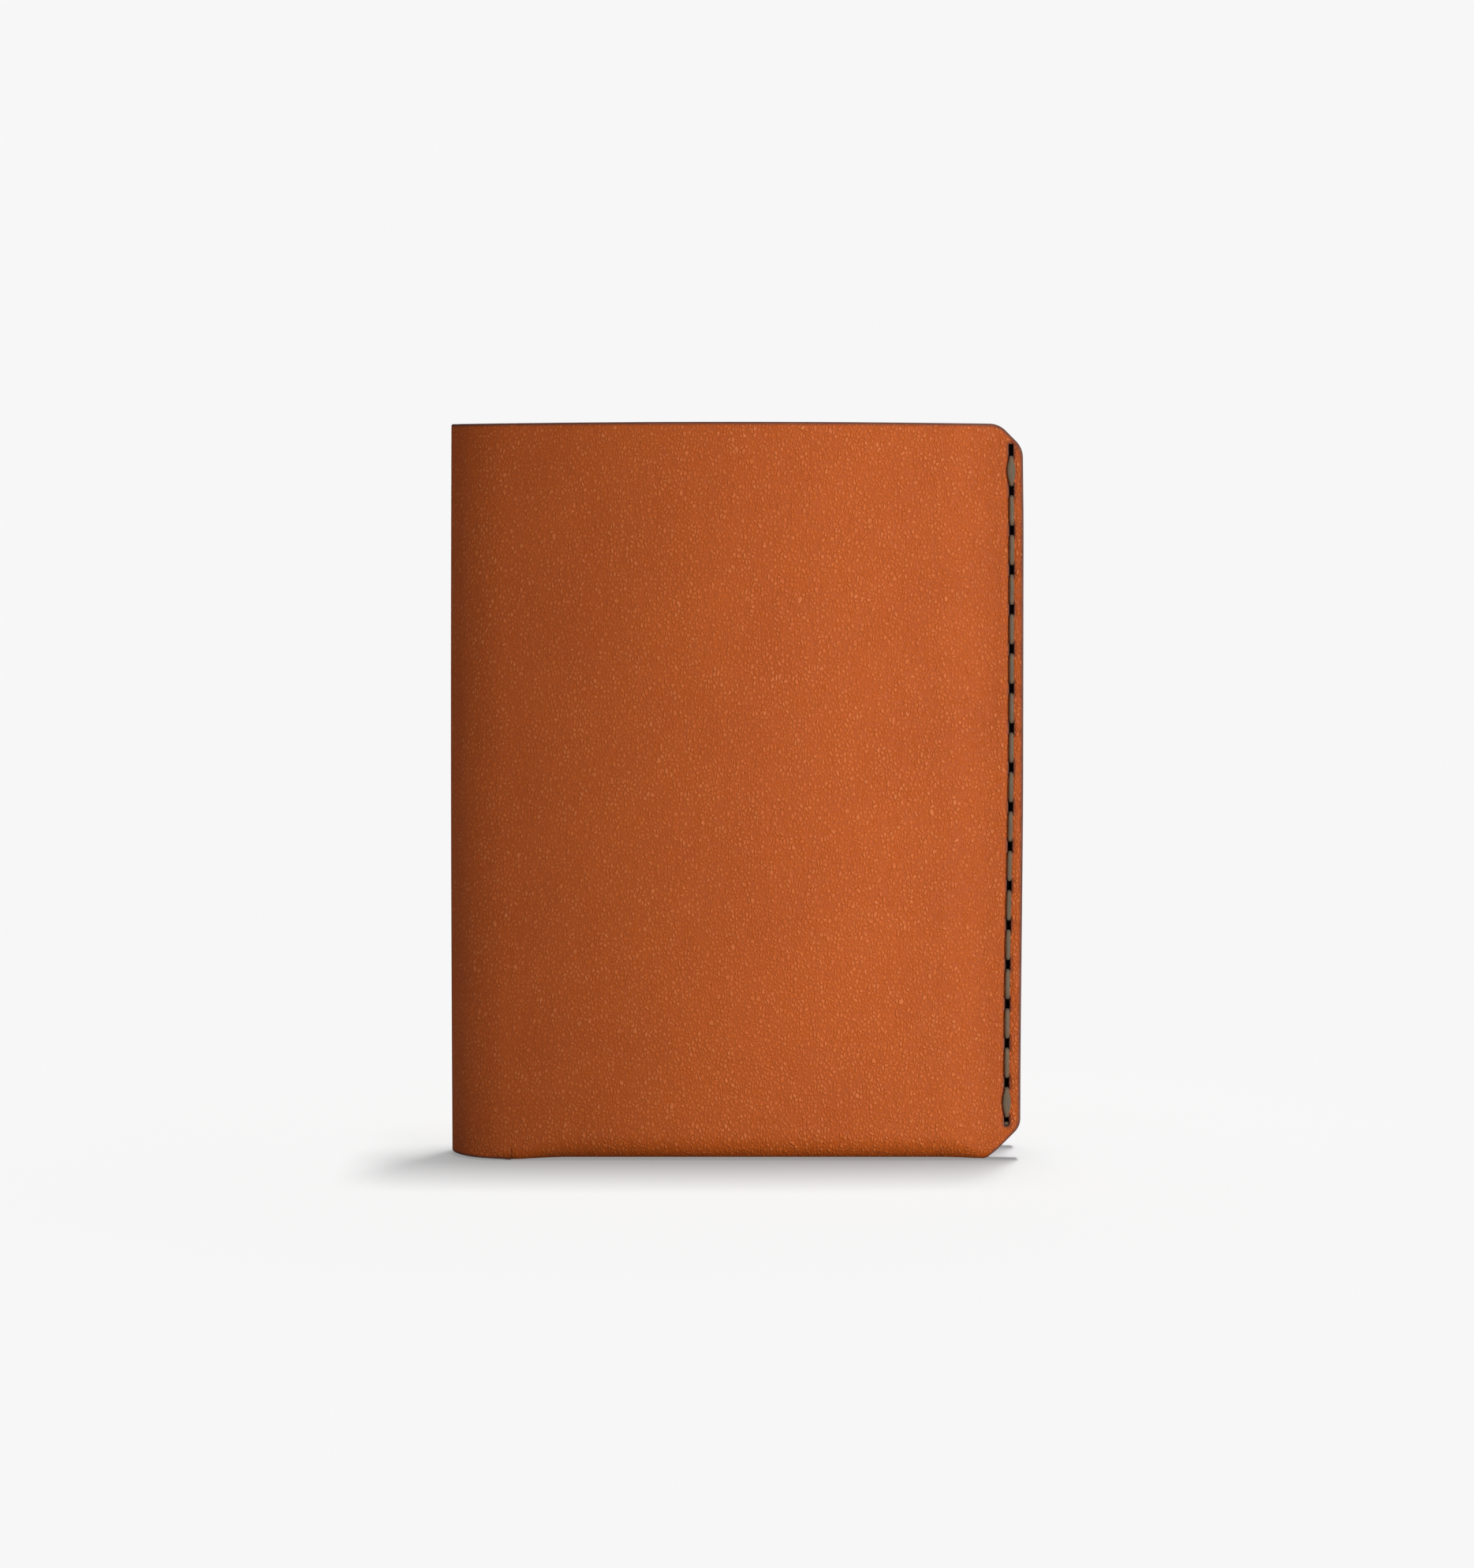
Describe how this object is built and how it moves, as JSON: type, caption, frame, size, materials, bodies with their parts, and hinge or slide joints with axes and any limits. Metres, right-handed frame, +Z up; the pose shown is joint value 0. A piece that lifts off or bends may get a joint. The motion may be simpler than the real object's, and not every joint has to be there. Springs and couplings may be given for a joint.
{
  "type": "card holder",
  "caption": "Bifold leather card holder that opens like a book on a rounded spine, with a turned-up, saddle-stitched card pocket in each half.",
  "frame": {"origin": "middle of the footprint, on the surface that the folded bottom edge stands on", "axes": "+Z up along the spine, +X from the spine to the stitched seam, +Y from the front cover to the back cover"},
  "size_m": [0.0724, 0.0146, 0.093],
  "materials": {
    "leather": "smooth vegetable-tanned leather with a fine pebble grain, satin",
    "thread": "flat waxed sewing thread"
  },
  "bodies": {
    "back_half": {"back_panel": "leather", "back_bottom_fold": "leather", "back_pocket": "leather", "back_seam_outer_strand": "thread", "back_seam_inner_strand": "thread"},
    "spine_back": {"spine_back_strip": "leather"},
    "spine_middle": {"spine_middle_strip": "leather"},
    "spine_front": {"spine_front_strip": "leather"},
    "front_half": {"front_panel": "leather", "front_bottom_fold": "leather", "front_pocket": "leather", "front_seam_outer_strand": "thread", "front_seam_inner_strand": "thread"}
  },
  "joints": [
    {"name": "back_spine_fold", "type": "hinge", "parent": "back_half", "child": "spine_back", "pos_m": [-0.03149, 0.00614, 0.0465], "axis": [0, 0, -1], "range_deg": [0, 45]},
    {"name": "inner_back_spine_fold", "type": "hinge", "parent": "spine_back", "child": "spine_middle", "pos_m": [-0.03509, 0.00254, 0.0465], "axis": [0, 0, -1], "range_deg": [0, 45]},
    {"name": "inner_front_spine_fold", "type": "hinge", "parent": "spine_middle", "child": "spine_front", "pos_m": [-0.03509, -0.00254, 0.0465], "axis": [0, 0, -1], "range_deg": [0, 45]},
    {"name": "front_spine_fold", "type": "hinge", "parent": "spine_front", "child": "front_half", "pos_m": [-0.03149, -0.00614, 0.0465], "axis": [0, 0, -1], "range_deg": [0, 45]}
  ],
  "couplings": [
    {"joint": "inner_back_spine_fold", "follows": "back_spine_fold", "ratio": 1},
    {"joint": "inner_front_spine_fold", "follows": "back_spine_fold", "ratio": 1},
    {"joint": "front_spine_fold", "follows": "back_spine_fold", "ratio": 1}
  ]
}
